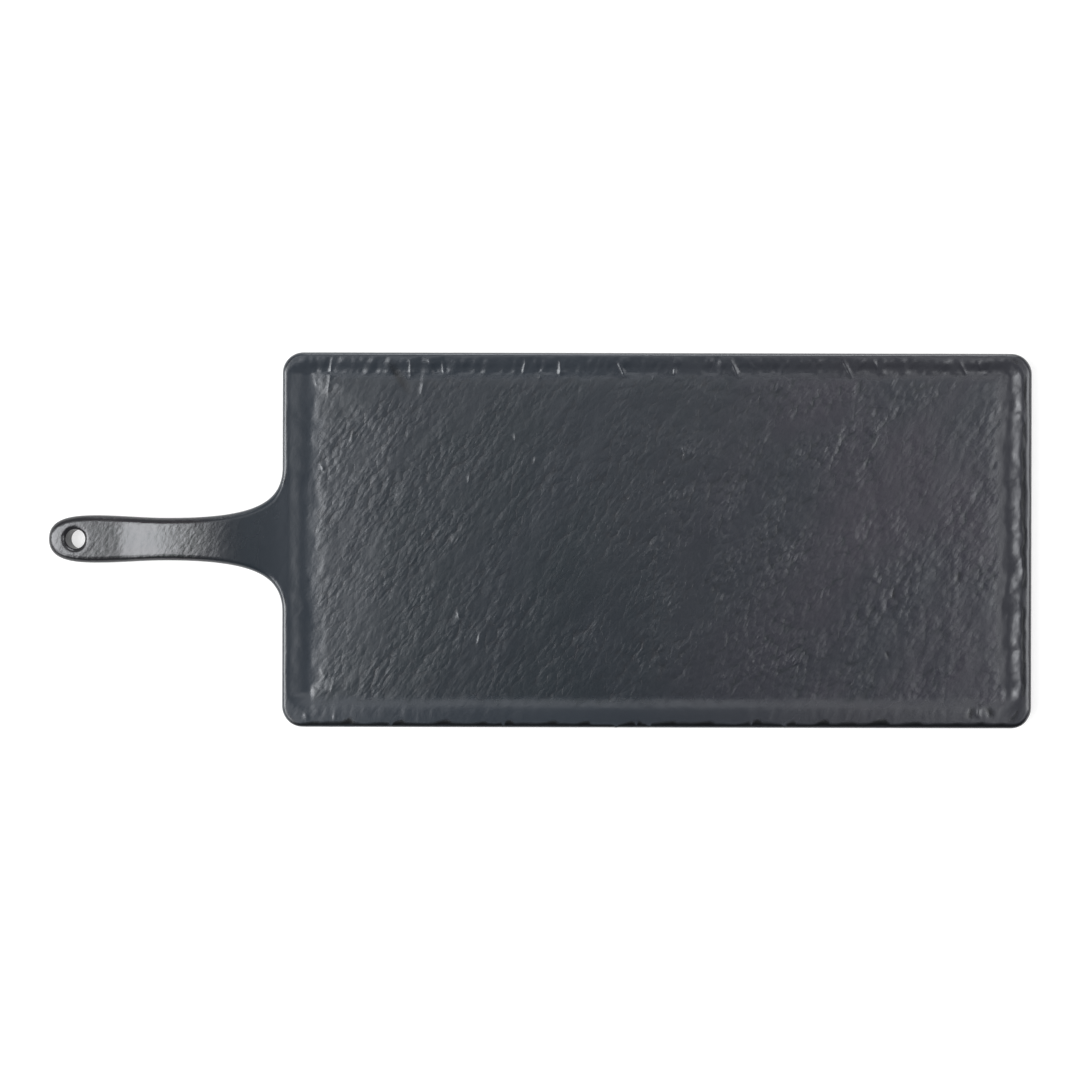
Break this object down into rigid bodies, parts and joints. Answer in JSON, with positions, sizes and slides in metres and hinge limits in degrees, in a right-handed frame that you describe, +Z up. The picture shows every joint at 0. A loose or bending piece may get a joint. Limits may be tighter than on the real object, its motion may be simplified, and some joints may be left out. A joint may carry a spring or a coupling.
{
  "type": "serving paddle",
  "caption": "Flat rectangular serving paddle in slate-effect melamine, with a raised rim, a shallow juice groove, an arched handle with a hanging eye, and push-in anti-slip feet.",
  "frame": {"origin": "on the surface that the feet stand on, below the middle of the whole length from the handle's nose to the board's far end", "axes": "+X along the paddle from the handle to the board, +Y across the board, +Z up from the feet to the slate field"},
  "size_m": [0.525, 0.2, 0.016],
  "materials": {
    "slate_melamine": "satin moulded melamine, riven slate relief on the field, smoother rim and handle",
    "black_silicone": "matt silicone"
  },
  "bodies": {
    "root": {"paddle_moulding": "slate_melamine", "foot_handle_left": "black_silicone", "foot_handle_right": "black_silicone", "foot_far_left": "black_silicone", "foot_far_right": "black_silicone"}
  },
  "joints": []
}
